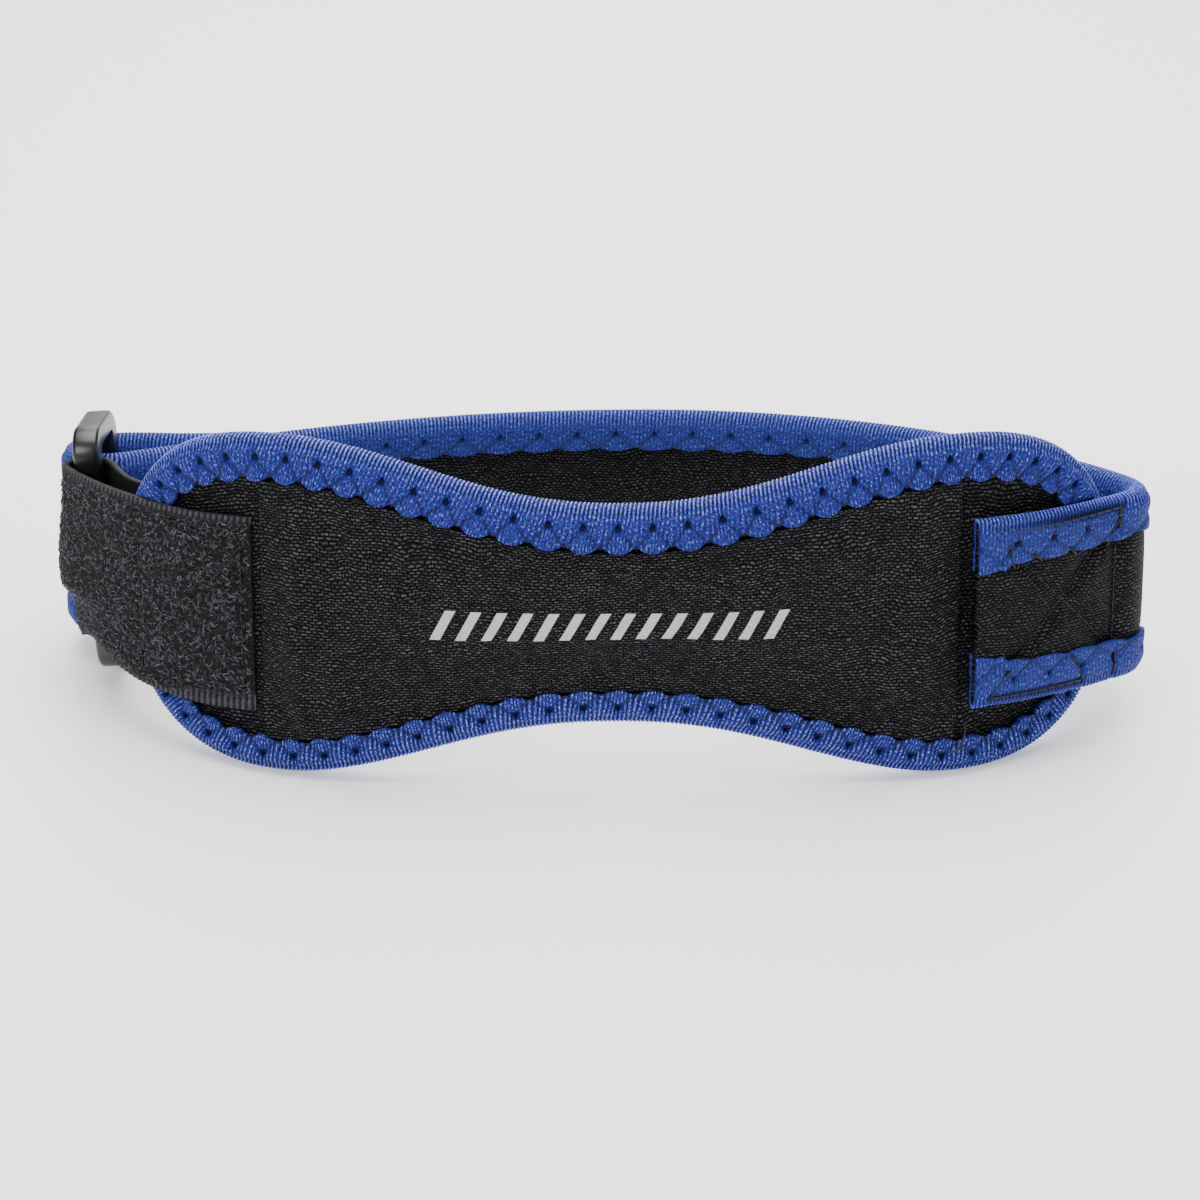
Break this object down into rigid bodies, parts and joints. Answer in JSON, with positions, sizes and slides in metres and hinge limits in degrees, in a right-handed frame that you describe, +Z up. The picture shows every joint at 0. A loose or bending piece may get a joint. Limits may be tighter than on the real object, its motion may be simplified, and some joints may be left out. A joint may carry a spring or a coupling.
{
  "type": "patella strap",
  "caption": "Padded patella strap: a bow-shaped front pad with taped edges, closed by a band threaded through a plastic ring and folded back on itself.",
  "frame": {"origin": "centre of the bounding box's underside, on the surface the strap stands on", "axes": "+X along the front pad, towards the end where the band is sewn on; +Y from the pad towards the back of the leg; +Z up"},
  "size_m": [0.22, 0.0908, 0.0678],
  "materials": {
    "black_neoprene": "knitted loop facing on foam",
    "blue_tape": "ribbed elastic tape, satin",
    "black_fleece": "brushed loop pile",
    "black_plastic": "smooth moulded, semi-gloss"
  },
  "bodies": {
    "root": {"pad_panel": "black_neoprene", "front_cushion": "black_neoprene", "band_core": "black_neoprene", "pad_edge_tape": "blue_tape", "band_upper_tape": "blue_tape", "band_lower_tape": "blue_tape", "fleece_tether": "black_fleece", "ring_buckle": "black_plastic"}
  },
  "joints": []
}
